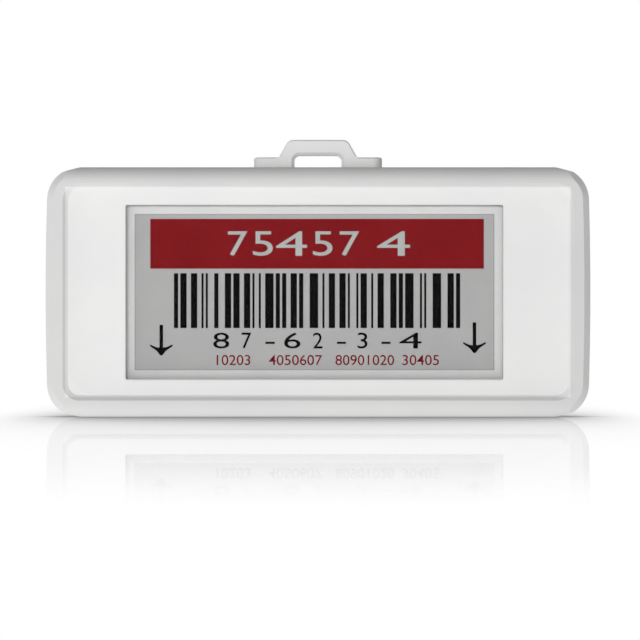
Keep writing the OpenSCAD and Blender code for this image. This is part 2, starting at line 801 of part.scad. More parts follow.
// Ink film, which shows the picture
module ink_film() {
    color("#ABABAB") upright() translate([window_x, 0, 0]) slab(ink_w, ink_h, z_glass_top, z_ink_top);
}

// Seal round the edge of the ink film
module edge_seal() {
    color("#C8C8C4") upright() translate([window_x, 0, 0]) difference() {
        slab(film_w, film_h, z_glass_top, z_ink_top);
        slab(ink_w, ink_h, z_glass_top - over, z_ink_top + over);
    }
}

// Glass backplane with the ledge for driver and flex
module display_glass() {
    color("#9FB4AE") upright() translate([glass_x, 0, 0]) slab(glass_w, glass_h, z_foam_top, z_glass_top);
}

// Driver chip on the ledge
module driver_chip() {
    color("#202226") upright() translate([driver_x, 0, 0]) slab(driver_w, driver_l, z_glass_top, z_glass_top + driver_t);
}

// Quarter of a bent strip, from +x round to +y
module bend(r) {
    intersection() {
        difference() {
            circle(r + flex_t / 2);
            circle(r - flex_t / 2);
        }
        square(r + flex_t);
    }
}

// Flex: from the ledge, round past the glass, to the connector behind the board
module display_flex() {
    z_high = z_glass_top + flex_t / 2;
    bond_x = glass_right - flex_bond;
    turn_x = flex_x - flex_bend_r;
    end_x = connector_x + connector_w / 2 - connector_grip;
    color("#C07A2C") upright() along_y(flex_w) {
        translate([bond_x, z_glass_top]) square([turn_x - bond_x, flex_t]);
        translate([turn_x, z_high - flex_bend_r]) bend(flex_bend_r);
        translate([flex_x - flex_t / 2, flex_z + flex_bend_r])
            square([flex_t, z_high - flex_z - 2 * flex_bend_r]);
        translate([turn_x, flex_z + flex_bend_r]) mirror([0, 1]) bend(flex_bend_r);
        translate([end_x, flex_z - flex_t / 2]) square([turn_x - end_x, flex_t]);
    }
}

// Foam that presses the glass forward
module foam_pad() {
    color("#3A3A3C") upright() translate([glass_x, 0, 0])
        slab(glass_w - 2 * foam_inset, glass_h - 2 * foam_inset, z_plate_top, z_foam_top);
}

// Carrier: plate with lips round the glass and pads that stand on the board
module display_carrier() {
    lip_top = z_glass_top + lip_rise;
    pad_r = screw_r + screw_head_r;
    color("#2E3033") upright() difference() {
        union() {
            plate(board_w, carrier_h, carrier_r, z_carrier, z_plate_top);
            translate([glass_x, 0, 0]) difference() {
                slab(glass_w + 2 * (glass_gap + lip_t), carrier_h, z_carrier, lip_top);
                slab(glass_w + 2 * glass_gap, glass_h + 2 * glass_gap, z_plate_top, lip_top + over);
            }
            at_screws() translate([0, 0, z_board_top]) cylinder(carrier_t + ferrite_t, pad_r, pad_r);
        }
        // room for the flex
        translate([notch_x, -notch_w / 2, z_board_top - over]) cube([half_w, notch_w, case_t]);
        translate([glass_right, -notch_w / 2, z_plate_top]) cube([half_w, notch_w, case_t]);
        at_screws() translate([0, 0, -over]) cylinder(case_t, screw_r + screw_gap, screw_r + screw_gap);
    }
}

// Ferrite sheet that keeps the display's metal out of the antenna's field
module ferrite_sheet() {
    left = ferrite_inset - board_w / 2 + 2 * screw_inset + boss_r;
    right = screw_x - boss_r - ferrite_inset - flex_room;
    color("#4A4A4E") upright()
        translate([left, board_low + ferrite_inset, z_board_top])
            cube([right - left, board_h - 2 * ferrite_inset, ferrite_t]);
}

// Board, notched for the flex
module main_board() {
    color("#1F5F3A") upright() difference() {
        translate([0, board_y, 0]) plate(board_w, board_h, board_r, z_board, z_board_top);
        translate([notch_x, -notch_w / 2, 0]) cube([half_w, notch_w, case_t]);
        at_screws() cylinder(case_t, screw_r + screw_gap, screw_r + screw_gap);
    }
}

// Pan head screw, head down, with a thread of plain ridges
module screw() {
    shank_l = board_t + ferrite_t + carrier_t + screw_grip;
    ridges = 8;
    root_r_share = 0.8;
    edge_share = 0.3;
    slot_w = screw_head_r / 3;
    slot_l = screw_head_r * 1.2;
    slot_h = screw_head_h / 2;
    pitch = screw_grip / ridges;
    difference() {
        rotate_extrude() polygon(concat(
            [[0, -screw_head_h], [screw_head_r * (1 - edge_share), -screw_head_h],
                [screw_head_r, -screw_head_h * (1 - edge_share)], [screw_head_r, 0],
                [screw_r, 0], [screw_r, shank_l - screw_grip]],
            [for (i = [0 : ridges - 1], k = [0, 1])
                [k == 0 ? screw_r * root_r_share : screw_r, shank_l - screw_grip + pitch * (i + (k + 1) / 2)]],
            [[screw_r * root_r_share, shank_l], [0, shank_l]]));
        slab(slot_w, slot_l, -screw_head_h - over, slot_h - screw_head_h);
        slab(slot_l, slot_w, -screw_head_h - over, slot_h - screw_head_h);
    }
}

// Screws that clamp board and carrier to the front shell
module board_screws() {
    color("#B8BCC2") upright() at_screws() translate([0, 0, z_board]) screw();
}

// Rectangular spiral as one band: outer edge out, inner edge back
function coil_path(o) = concat(
    [[coil_right, coil_top + o]],
    [for (i = [0 : coil_turns - 1], k = [0 : 3])
        let (s = i * coil_pitch)
        k == 0 ? [coil_left + s - o, coil_top - s + o] :
        k == 1 ? [coil_left + s - o, coil_low + s - o] :
        k == 2 ? [coil_right - s + o, coil_low + s - o] :
        [coil_right - s + o, coil_top - s - coil_pitch + (i < coil_turns - 1 ? o : 0)]]);
function reversed(v) = [for (i = [len(v) - 1 : -1 : 0]) v[i]];

// Printed coil on the back of the board
module antenna_coil() {
    color("#C8843C") upright() translate([0, 0, z_board - coil_t]) linear_extrude(coil_t)
        polygon(concat(coil_path(coil_w / 2), reversed(coil_path(-coil_w / 2))));
}

// Seats a part on the board's back at a place given in shares of the board, its height h
module on_board(place, h) {
    translate([place[0] * board_w, board_y + place[1] * board_h, z_board - h]) children();
}

// Square chip with a bevelled top and a mark at pin one
module chip(w, h) {
    bevel_share = 0.12;
    mark_r_share = 0.07;
    mark_place_share = 0.34;
    b = h * bevel_share;
    difference() {
        intersection() {
            along_x(w) polygon([[-w / 2, b], [b - w / 2, 0], [w / 2 - b, 0], [w / 2, b], [w / 2, h], [-w / 2, h]]);
            along_y(w) polygon([[-w / 2, b], [b - w / 2, 0], [w / 2 - b, 0], [w / 2, b], [w / 2, h], [-w / 2, h]]);
        }
        translate([w * mark_place_share, w * mark_place_share, -h]) cylinder(h + b, w * mark_r_share, w * mark_r_share);
    }
}

// NFC chip, which harvests the reader's power
module nfc_chip() {
    color("#1C1C1E") upright() on_board(nfc_place_share, nfc_h) chip(nfc_w, nfc_h);
}

// Controller chip
module controller_chip() {
    color("#1C1C1E") upright() on_board(controller_place_share, controller_h) chip(controller_w, controller_h);
}

// Inductor of the display's boost supply: square core with a round top
module boost_inductor() {
    base_share = 0.3;
    top_r_share = 0.46;
    color("#3C3A38") upright() on_board(inductor_place_share, inductor_h) {
        slab(inductor_w, inductor_w, inductor_h * (1 - base_share), inductor_h);
        cylinder(inductor_h, inductor_w * top_r_share, inductor_w * top_r_share);
    }
}

// Body with flat leads, for diodes and the transistor; leads is a list of [side, place share]
module leaded(l, w, h, leads) {
    lead_reach_share = 0.2;
    lead_w_share = 0.25;
    lead_t_share = 0.25;
    slab(w, l, 0, h);
    for (k = leads)
        translate([k[0] * w / 2, k[1] * l, 0])
            slab(2 * lead_reach_share * l, lead_w_share * l, h * (1 - lead_t_share), h);
}

// Diodes of the boost supply
module boost_diodes() {
    color("#232325") upright() for (p = diode_place_shares)
        on_board(p, diode_h) leaded(diode_l, diode_w, diode_h, [[-1, 0], [1, 0]]);
}

// Switching transistor of the boost supply
module boost_transistor() {
    lead_share = 0.33;
    color("#232325") upright() on_board(transistor_place_share, diode_h)
        leaded(diode_l + chip_l, diode_w, diode_h, [[-1, -lead_share], [-1, lead_share], [1, 0]]);
}

// Two-terminal chip part, its end caps a little proud
module chip_part(l, w, h) {
    cap_share = 0.22;
    proud_share = 0.04;
    p = w * proud_share;
    translate([0, 0, p]) slab(w - 2 * p, l, 0, h - p);
    for (y = [-1, 1])
        translate([0, y * (1 - cap_share) * l / 2, 0]) slab(w, cap_share * l, 0, h);
}

// Storage capacitors, which hold the harvested power
module storage_capacitors() {
    color("#8A6A48") upright() for (p = storage_place_shares)
        on_board(p, storage_w) chip_part(storage_l, storage_w, storage_w);
}

// Small capacitors in a row beside the connector
module chip_capacitors() {
    color("#9A7A58") upright() for (i = [0 : capacitor_count - 1])
        on_board([capacitor_x_share, (i - (capacitor_count - 1) / 2) * capacitor_pitch_share + flex_side_share], chip_w)
            rotate([0, 0, 90]) chip_part(chip_l, chip_w, chip_w);
}

// Small resistors round the chips
module chip_resistors() {
    resistor_h_share = 0.6;
    color("#26262A") upright() for (p = resistor_place_shares)
        on_board(p, chip_w * resistor_h_share) chip_part(chip_l, chip_w, chip_w * resistor_h_share);
}

// Connector for the flex, open to the right
module flex_connector() {
    mouth_gap_share = 0.3;
    mouth_t = flex_t * (1 + 2 * mouth_gap_share);
    mouth_l = flex_w * (1 + connector_play_share);
    latch_room_h = connector_h - (z_board - flex_z);
    color("#E4DFD0") upright() translate([connector_x, 0, z_board - connector_h]) difference() {
        slab(connector_w, connector_l, 0, connector_h);
        translate([connector_w / 2 - connector_grip - slide_gap, -mouth_l / 2, flex_z - z_board + connector_h - mouth_t / 2])
            cube([connector_w, mouth_l, mouth_t]);
        translate([connector_w / 2 - latch_w - slide_gap, -mouth_l / 2, -over])
            cube([connector_w, mouth_l, latch_room_h + over]);
    }
}

// Latch that presses the flex onto the contacts
module connector_latch() {
    mouth_gap_share = 0.3;
    latch_l = flex_w * (1 + connector_play_share) - 2 * slide_gap;
    latch_h = connector_h - (z_board - flex_z) - flex_t * (1 + mouth_gap_share) / 2;
    color("#2A2A2C") upright() translate([connector_x + connector_w / 2 - latch_w / 2, 0, z_board - connector_h])
        slab(latch_w, latch_l, 0, latch_h);
}

front_shell();
rear_cover();
hanger();
window_lens();
lens_tape();
protective_film();
ink_film();
edge_seal();
display_glass();
driver_chip();
display_flex();
foam_pad();
display_carrier();
ferrite_sheet();
main_board();
board_screws();
antenna_coil();
nfc_chip();
controller_chip();
boost_inductor();
boost_diodes();
boost_transistor();
storage_capacitors();
chip_capacitors();
chip_resistors();
flex_connector();
connector_latch();
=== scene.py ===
# %% [markdown]
# # An NFC e-paper tag
# The tag is a flat white case with a clear lens in its face and a picture of black, grey and
# red ink behind the lens. It has no battery: a reader's field powers it for the few seconds
# in which the picture changes. Every hard piece comes from the CAD frame, and this notebook
# gives each its finish, draws the picture, and sets up the light and the camera.

# %% Load the frame
import math
import random

import bpy
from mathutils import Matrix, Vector


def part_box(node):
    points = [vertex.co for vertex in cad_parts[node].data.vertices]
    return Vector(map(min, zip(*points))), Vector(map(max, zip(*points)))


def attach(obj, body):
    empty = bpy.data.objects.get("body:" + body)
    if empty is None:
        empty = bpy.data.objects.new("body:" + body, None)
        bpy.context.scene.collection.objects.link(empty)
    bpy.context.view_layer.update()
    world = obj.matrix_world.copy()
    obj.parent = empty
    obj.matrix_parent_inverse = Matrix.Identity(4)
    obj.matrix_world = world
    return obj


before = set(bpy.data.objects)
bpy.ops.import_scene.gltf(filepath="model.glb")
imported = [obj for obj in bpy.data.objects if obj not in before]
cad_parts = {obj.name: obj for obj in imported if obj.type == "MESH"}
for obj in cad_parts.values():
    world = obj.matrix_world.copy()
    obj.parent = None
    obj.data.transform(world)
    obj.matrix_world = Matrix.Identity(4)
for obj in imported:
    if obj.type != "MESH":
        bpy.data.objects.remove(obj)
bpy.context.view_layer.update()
MM = 0.001

# %% [markdown]
# ## Working with materials
# A shader graph is a list of nodes joined by links. One function adds a node, sets its fields
# and feeds its inputs, so each material below reads as a short recipe. Colours are written as
# the sRGB hex values that a painter would pick, and one function turns them to linear light.

# %% Helpers for materials
def linear(hex_code):
    channels = [int(hex_code[i:i + 2], 16) / 255 for i in (1, 3, 5)]
    return [c / 12.92 if c <= 0.04045 else ((c + 0.055) / 1.055) ** 2.4 for c in channels] + [1.0]


def add(tree, kind, feeds=None, **settings):
    """Adds a node. Settings named after an input set that input, others set the node.

    Feeds go to inputs by name or number: another node's output is linked, a value is set.
    """
    node = tree.nodes.new(kind)
    for name, value in settings.items():
        socket = node.inputs.get(name.replace("_", " "))
        if socket is not None:
            socket.default_value = value
        else:
            setattr(node, name, value)
    for name, source in (feeds or {}).items():
        if isinstance(source, bpy.types.NodeSocket):
            tree.links.new(source, node.inputs[name])
        else:
            node.inputs[name].default_value = source
    return node


def new_material(name, color, roughness, **shader):
    """A Principled material and its tree, with the constants on the shader's own sockets."""
    material = bpy.data.materials.new(name)
    material.use_nodes = True
    tree = material.node_tree
    bsdf = tree.nodes["Principled BSDF"]
    bsdf.inputs["Base Color"].default_value = linear(color)
    bsdf.inputs["Roughness"].default_value = roughness
    for socket, value in shader.items():
        bsdf.inputs[socket.replace("_", " ")].default_value = value
    material.diffuse_color = linear(color)
    return material, tree, bsdf


def grain(tree, bsdf, size_mm, depth_mm, detail=2.0, stretch=(1, 1, 1)):
    """Bump of a noise whose bumps are size_mm apart and depth_mm high."""
    place = add(tree, "ShaderNodeTexCoord")
    turn = add(tree, "ShaderNodeMapping", {"Vector": place.outputs["Object"]}, Scale=stretch)
    noise = add(tree, "ShaderNodeTexNoise", {"Vector": turn.outputs["Vector"]},
                Scale=1 / (size_mm * MM), Detail=detail, Roughness=0.6)
    bump = add(tree, "ShaderNodeBump", {"Height": noise.outputs["Fac"]},
               Strength=1.0, Distance=depth_mm * MM)
    tree.links.new(bump.outputs["Normal"], bsdf.inputs["Normal"])


def tone(tree, low, high, size_mm):
    """Slow change between two close colours, size_mm across. Gives back the colour."""
    place = add(tree, "ShaderNodeTexCoord")
    noise = add(tree, "ShaderNodeTexNoise", {"Vector": place.outputs["Object"]},
                Scale=1 / (size_mm * MM), Detail=3.0, Roughness=0.55)
    ramp = add(tree, "ShaderNodeValToRGB", {"Fac": noise.outputs["Fac"]})
    first, last = ramp.color_ramp.elements
    first.position, last.position = 0.35, 0.65
    first.color, last.color = linear(low), linear(high)
    return ramp.outputs["Color"]


def within(tree, axis, centre, half, soft):
    """1 where the coordinate is within half of centre, fading to 0 over soft outside it."""
    place = add(tree, "ShaderNodeTexCoord")
    parts = add(tree, "ShaderNodeSeparateXYZ", {"Vector": place.outputs["Object"]})
    offset = add(tree, "ShaderNodeMath", {0: parts.outputs[axis], 1: centre}, operation="SUBTRACT")
    away = add(tree, "ShaderNodeMath", {0: offset.outputs[0]}, operation="ABSOLUTE")
    fade = add(tree, "ShaderNodeMapRange", {"Value": away.outputs[0]},
               interpolation_type="SMOOTHSTEP", From_Min=half, From_Max=half + soft,
               To_Min=1.0, To_Max=0.0)
    return fade.outputs["Result"]


def dress(material, *nodes):
    """Gives CAD nodes their finish."""
    for name in nodes:
        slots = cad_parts[name].data.materials
        slots.clear()
        slots.append(material)
    print(material.name, "on", ", ".join(nodes))


# %% [markdown]
# ## White moulded case
# The two shells and the hanging loop are injection-moulded ABS, a soft white with a trace of
# grey. The mould is spark-eroded to a fine even texture that keeps fingerprints from showing,
# so the surface has a wide dull sheen and no sharp reflection. Its real pits are about 0.05 mm
# apart, too fine to show here, so they are drawn at 0.12 mm. A faint slow change of tone over
# some 20 mm is what the resin's flow leaves. In the photograph the dished face inside the rim
# reads brighter than the rim under the same light. Why isn't known. It is drawn here in a
# brighter white, whose edge is masked along the foot of the step, and two soft-edged bands of
# the object's coordinates, multiplied, draw that mask.

# %% Bare case finish
def moulded_white(name, low, high):
    """White ABS between two close tones."""
    material, tree, bsdf = new_material(name, low, 0.46, IOR=1.53)
    # its gloss is a third of a polished part's, since the pits scatter most of it
    bsdf.inputs["Specular IOR Level"].default_value = 0.15
    tree.links.new(tone(tree, low, high, 20), bsdf.inputs["Base Color"])
    grain(tree, bsdf, 0.12, 0.0025)
    return material, tree, bsdf


case_white, tree, bsdf = moulded_white("abs_white_spark_eroded", "#CFCFCF", "#D3D3D2")
dress(case_white, "rear_cover")
# the small loop is the same ABS, drawn in a brighter copy of its white: painted light that lifts it
# above the case
loop_white_painted_light, tree, bsdf = moulded_white("abs_white_loop_painted_light", "#DDDDDD", "#E1E1E0")
dress(loop_white_painted_light, "hanger")

# %% Front shell finish, with a brighter face inside the rim
front_white, tree, bsdf = moulded_white("abs_white_brighter_face", "#CFCFCF", "#D3D3D2")
shell_low, shell_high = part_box("front_shell")
shell_middle = (shell_low + shell_high) / 2
STEP_FOOT = 3.9 * MM       # from the outside of the case to the foot of the step
FACE_FADE = 0.35 * MM      # how softly the brighter face ends
FACE_DEPTH = 2.6 * MM      # how far back from the rim's front the brighter face reaches
SHARP = 0.01 * MM          # fade of an edge that is to look sharp
# mask of the face inside the foot of the step, which is drawn brighter than the rim for no known
# cause
brighter_face = within(tree, "Y", shell_low.y, FACE_DEPTH, SHARP)
for axis, centre, low, high in (("X", shell_middle.x, shell_low.x, shell_high.x),
                                ("Z", shell_middle.z, shell_low.z, shell_high.z)):
    side = within(tree, axis, centre, (high - low) / 2 - STEP_FOOT, FACE_FADE)
    brighter_face = add(tree, "ShaderNodeMath", {0: brighter_face, 1: side}, operation="MULTIPLY").outputs[0]
bare = bsdf.inputs["Base Color"].links[0].from_socket
brighter_face_tone = tone(tree, "#E2E2E2", "#E6E6E5", 20)
shell_tone = add(tree, "ShaderNodeMix", {0: brighter_face, 6: bare, 7: brighter_face_tone}, data_type="RGBA")
tree.links.new(shell_tone.outputs[2], bsdf.inputs["Base Color"])
dress(front_white, "front_shell")

# %% [markdown]
# ## Clear lens
# The lens is a moulded acrylic plate with polished faces and a hard coat. Looked at from the
# front it only adds a very weak reflection, and from the side its gloss shows. Real refraction
# in a plate this thin barely moves what lies behind it, so a mostly transparent surface with
# acrylic's gloss shows the same, without the noise that a refracting plate brings. Its own
# colour is dark, because a clear body sends back no light but its gloss.

# %% Lens finish
lens_clear, tree, bsdf = new_material("acrylic_clear_polished", "#161818", 0.04, IOR=1.49)
bsdf.inputs["Alpha"].default_value = 0.06
grain(tree, bsdf, 6.0, 0.0008, detail=0.0)
dress(lens_clear, "window_lens")

# %% [markdown]
# ## Layers of the e-paper panel
# The protective film has an anti-glare coat, so it is clear with a soft sheen. Under it the
# ink film shows in two tones: the border that is never driven stays pale, and the driven field
# is a mid grey, with a thin darker line round it that is painted shade of a slight step at its
# edge. All three are rectangles in the film's own plane, so bands of the object's coordinates
# draw them. The capsules of the ink are some 0.05 mm wide, too fine to show, so their grain is
# drawn at 0.1.

# %% Measures of the picture field
film_low, film_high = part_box("ink_film")
FIELD_BORDER = 1.9 * MM
# width of the painted shade line round the field
FIELD_SHADE_LINE = 0.2 * MM
field_w = film_high.x - film_low.x - 2 * FIELD_BORDER
field_h = film_high.z - film_low.z - 2 * FIELD_BORDER
field_x = (film_low.x + film_high.x) / 2
field_z = (film_low.z + film_high.z) / 2
film_y = film_low.y
print("field", round(field_w / MM, 2), "by", round(field_h / MM, 2), "mm,",
      "film face at y", round(film_y / MM, 2))

# %% Ink film finish
ink_grey, tree, bsdf = new_material("ink_film_laminated", "#B7B7B7", 0.6, IOR=1.45)
# a film of capsules in resin has next to no gloss of its own
bsdf.inputs["Specular IOR Level"].default_value = 0.1
masks = []
for inset in (0.0, FIELD_SHADE_LINE):
    sides = [within(tree, "X", field_x, field_w / 2 - inset, SHARP),
             within(tree, "Z", field_z, field_h / 2 - inset, SHARP)]
    mask = add(tree, "ShaderNodeMath", {0: sides[0], 1: sides[1]}, operation="MULTIPLY")
    masks.append(mask.outputs[0])
whole_field, inside_shade_line = masks
driven = tone(tree, "#C2C2C2", "#C5C5C4", 9)
# the thin darker #B4B4B4 line round the field is painted shade of a slight step at its edge
field_tone = add(tree, "ShaderNodeMix", {0: inside_shade_line, 6: linear("#B4B4B4"), 7: driven},
                 data_type="RGBA")
border = tone(tree, "#EFEFEF", "#F2F2F1", 9)
film_tone = add(tree, "ShaderNodeMix", {0: whole_field, 6: border, 7: field_tone.outputs[2]},
                data_type="RGBA")
tree.links.new(film_tone.outputs[2], bsdf.inputs["Base Color"])
grain(tree, bsdf, 0.1, 0.001)
dress(ink_grey, "ink_film")

# %% Film, seal, glass and tape finishes
# anti-glare coat: clear and dull. Close behind the lens next to none of its gloss is left
film_clear, tree, bsdf = new_material("pet_film_anti_glare", "#1A1B1B", 0.3, IOR=1.55)
bsdf.inputs["Alpha"].default_value = 0.03
bsdf.inputs["Specular IOR Level"].default_value = 0.1
grain(tree, bsdf, 0.08, 0.0006)
dress(film_clear, "protective_film")

# cured bead: milky, with the slow ripple of a hand-guided nozzle
seal_clear, tree, bsdf = new_material("sealant_cured_bead", "#C9C9C6", 0.35, IOR=1.43)
tree.links.new(tone(tree, "#C2C2BE", "#CDCDCA", 3), bsdf.inputs["Base Color"])
grain(tree, bsdf, 1.2, 0.01)
dress(seal_clear, "edge_seal")

# thin glass: grey green from its metal layers, mirror smooth
panel_glass, tree, bsdf = new_material("glass_thin_cut", "#B9C6C1", 0.08, IOR=1.51)
tree.links.new(tone(tree, "#B4C2BC", "#BECAC6", 12), bsdf.inputs["Base Color"])
grain(tree, bsdf, 4.0, 0.0005)
dress(panel_glass, "display_glass")

# die-cut tape: chalky white with the fine tooth of its tissue core
tape_white, tree, bsdf = new_material("tape_die_cut", "#DADAD6", 0.7)
tree.links.new(tone(tree, "#D3D3CE", "#DEDEDB", 2), bsdf.inputs["Base Color"])
grain(tree, bsdf, 0.3, 0.004)
dress(tape_white, "lens_tape")

# %% [markdown]
# ## Pieces inside the case
# Nobody sees these until the shells are prised apart, but each has its own stuff: polyimide
# over copper for the flex, glass-epoxy laminate with green solder mask for the board, epoxy
# packages with a sanded look for the chips, fired ceramic for the capacitors, and zinc on the
# screws. Every recipe is a base colour, a slow change of tone and a grain of its own size.

# %% Recipe of the inner pieces
def inner(name, low, high, tone_mm, roughness, grain_mm, depth_mm, nodes,
          metallic=0.0, stretch=(1, 1, 1)):
    material, tree, bsdf = new_material(name, low, roughness, Metallic=metallic)
    tree.links.new(tone(tree, low, high, tone_mm), bsdf.inputs["Base Color"])
    grain(tree, bsdf, grain_mm, depth_mm, stretch=stretch)
    dress(material, *nodes)


# %% Finishes of the display's back, flex and carrier
# bare silicon: a near-black mirror with a blue cast
inner("silicon_bare_polished", "#26262B", "#313138", 3, 0.12, 0.5, 0.0005, ["driver_chip"])
# polyimide over etched copper: amber, glossy, faintly ribbed along its tracks
inner("polyimide_flex_etched", "#9A5F1A", "#B57527", 4, 0.28, 0.6, 0.002, ["display_flex"],
      stretch=(1, 1, 6))
# closed-cell foam: dead matt, with open pits where cells were cut
inner("foam_closed_cell", "#1D1D1D", "#292929", 1.5, 0.95, 0.25, 0.05, ["foam_pad"])
# dark ABS: an even satin from its spark-eroded mould
inner("abs_dark_moulded", "#2A2C2F", "#333538", 10, 0.5, 0.12, 0.002, ["display_carrier"])
# sintered ferrite in film: slate grey, mottled by its grains
inner("ferrite_sheet_sintered", "#363637", "#424243", 2.5, 0.6, 0.4, 0.006, ["ferrite_sheet"])

# %% Finishes of the board and what is soldered to it
# glass-epoxy laminate under solder mask: deep green, with the weave just showing
inner("epoxy_laminate_green_mask", "#195531", "#20633B", 6, 0.32, 0.5, 0.003, ["main_board"])
# zinc plate on cold-headed steel: bright grey with a soft blur
inner("steel_zinc_plated", "#AEB0AD", "#C2C4C1", 1, 0.32, 0.3, 0.002, ["board_screws"],
      metallic=1.0)
# copper under the mask: a lighter green line on the board
inner("copper_under_mask", "#387A3C", "#458847", 3, 0.3, 0.4, 0.002, ["antenna_coil"])
# moulded epoxy: charcoal, with the sanded look of its mould
inner("epoxy_package_moulded", "#222326", "#2B2C30", 1.5, 0.55, 0.1, 0.003,
      ["nfc_chip", "controller_chip", "boost_diodes", "boost_transistor"])
# pressed iron powder: speckled dark grey
inner("iron_powder_pressed", "#4B4C50", "#606166", 0.6, 0.6, 0.15, 0.006, ["boost_inductor"])
# fired ceramic: tan, fine and dry
inner("ceramic_fired_tan", "#90704B", "#A68760", 0.8, 0.5, 0.1, 0.002,
      ["storage_capacitors", "chip_capacitors"])
# glazed alumina: black and shiny
inner("alumina_glazed_black", "#27272A", "#343438", 0.6, 0.25, 0.1, 0.001, ["chip_resistors"])
# natural nylon: ivory, slightly waxy
inner("nylon_natural_moulded", "#CBBF9F", "#D8CDB1", 3, 0.45, 0.15, 0.003, ["flex_connector"])
# black nylon: the same wax on black
inner("nylon_black_moulded", "#252527", "#2E2E31", 3, 0.45, 0.15, 0.003, ["connector_latch"])

# %% [markdown]
# ## The picture
# E-paper draws with black, white and red particles, and the picture stays when the power is
# off. The one shown here is a plain storage label: a red banner with wide thin figures, a bar
# pattern, a row of figures with dashes, four small groups of figures and two arrows. A layer of
# particles has hardly any thickness, so each mark is a wafer that stands 0.02 mm in front of
# what carries it, inside the clear film. The ground of the picture is the first such wafer. It
# also keeps two faces from lying in one plane, which a ray can't tell apart. Measures across
# run from the case's middle, and heights run from the edge that the tag stands on.

# %% Inks
ink_red, tree, bsdf = new_material("ink_particles_red", "#7E1A20", 0.6)
bsdf.inputs["Specular IOR Level"].default_value = 0.02
tree.links.new(tone(tree, "#8A1219", "#90151C", 5), bsdf.inputs["Base Color"])
grain(tree, bsdf, 0.1, 0.0008)
ink_black, tree, bsdf = new_material("ink_particles_black", "#030303", 0.7)
bsdf.inputs["Specular IOR Level"].default_value = 0.02
tree.links.new(tone(tree, "#020202", "#040404", 5), bsdf.inputs["Base Color"])
grain(tree, bsdf, 0.1, 0.0008)
ink_pale, tree, bsdf = new_material("ink_particles_pale", "#B9BEBB", 0.6)
bsdf.inputs["Specular IOR Level"].default_value = 0.1
tree.links.new(tone(tree, "#C1C7C3", "#C8CDCA", 5), bsdf.inputs["Base Color"])
grain(tree, bsdf, 0.1, 0.0008)
print("inks:", ink_red.name, ink_black.name, ink_pale.name)

# %% Wafers
RISE = 0.02 * MM           # how far a mark stands in front of what carries it
ROOT = 0.03 * MM           # how far it reaches into that
GROUND_FRONT = film_y - RISE
MARK_FRONT = GROUND_FRONT - RISE
BANNER_FRONT = MARK_FRONT - RISE


def select_only(obj):
    bpy.ops.object.select_all(action="DESELECT")
    obj.select_set(True)
    bpy.context.view_layer.objects.active = obj


def wafer(obj, front, material):
    """Gives a flat shape that faces -Y its thickness, its ink, its place and its body."""
    select_only(obj)
    bpy.ops.object.transform_apply(location=True, rotation=True, scale=True)
    solid = obj.modifiers.new("wafer", "SOLIDIFY")
    solid.thickness, solid.offset = RISE + ROOT, 0
    bpy.ops.object.modifier_apply(modifier=solid.name)
    bpy.ops.object.mode_set(mode="EDIT")
    bpy.ops.mesh.select_all(action="SELECT")
    bpy.ops.mesh.normals_make_consistent(inside=False)
    bpy.ops.object.mode_set(mode="OBJECT")
    obj.location.y += front + (RISE + ROOT) / 2
    bpy.ops.object.transform_apply(location=True, rotation=True, scale=True)
    obj.data.materials.clear()
    obj.data.materials.append(material)
    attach(obj, "case")
    return obj


def rectangle(name, x0, x1, z0, z1, front, material):
    """Rectangular mark between those measures, in mm."""
    bpy.ops.object.select_all(action="DESELECT")
    bpy.ops.mesh.primitive_plane_add(size=1, rotation=(math.pi / 2, 0, 0),
                                     location=((x0 + x1) / 2 * MM, 0, (z0 + z1) / 2 * MM))
    obj = bpy.context.object
    obj.name = name
    obj.scale = ((x1 - x0) * MM, (z1 - z0) * MM, 1)
    return wafer(obj, front, material)


# %% Ground and banner
rectangle("picture_ground", film_low.x / MM, film_high.x / MM, film_low.z / MM, film_high.z / MM,
          GROUND_FRONT, ink_grey)
banner = rectangle("picture_banner", -31.2, 30.85, 27.55, 36.8, MARK_FRONT, ink_red)
print("banner", [round(v / MM, 2) for v in banner.dimensions])

# %% [markdown]
# ## Figures
# The figures come from a text object, the quickest outline of a numeral there is. It is made
# a mesh, because text can't be stretched to a box or given a wall of its own. Then it is
# stretched to the width and height measured for it, which gives the wide letterforms of a
# shelf label, and thickened to a wafer.

# %% Figure maker
def figures(name, text, x0, x1, z0, z1, front, material, bolder=0.0):
    """Figures stretched to those measures, in mm. Their strokes grow by bolder em a side."""
    bpy.ops.object.select_all(action="DESELECT")
    bpy.ops.object.text_add(rotation=(math.pi / 2, 0, 0))
    obj = bpy.context.object
    obj.name = name
    obj.data.body = text
    obj.data.resolution_u = 5
    obj.data.offset = bolder
    bpy.ops.object.convert(target="MESH")
    obj = bpy.context.object
    bpy.ops.object.transform_apply(location=True, rotation=True, scale=True)
    xs = [v.co.x for v in obj.data.vertices]
    zs = [v.co.z for v in obj.data.vertices]
    across = (x1 - x0) * MM / (max(xs) - min(xs))
    up = (z1 - z0) * MM / (max(zs) - min(zs))
    for v in obj.data.vertices:
        v.co.x, v.co.y, v.co.z = (x0 * MM + (v.co.x - min(xs)) * across, 0,
                                  z0 * MM + (v.co.z - min(zs)) * up)
    bpy.ops.object.mode_set(mode="EDIT")
    bpy.ops.mesh.select_all(action="SELECT")
    bpy.ops.mesh.remove_doubles(threshold=1e-7)
    bpy.ops.object.mode_set(mode="OBJECT")
    return wafer(obj, front, material)


# %% Figures of the banner
BANNER_FIGURES = [("7", -16.75, -13.15), ("5", -12.1, -8.4), ("4", -7.8, -2.05),
                  ("5", -0.95, 2.7), ("7", 4.05, 7.65), ("4", 11.0, 17.1)]
for number, (figure, x0, x1) in enumerate(BANNER_FIGURES):
    figures(f"picture_banner_figure_{number + 1}", figure, x0, x1, 29.95, 34.5,
            BANNER_FRONT, ink_pale)
print("banner figures:", len(BANNER_FIGURES))

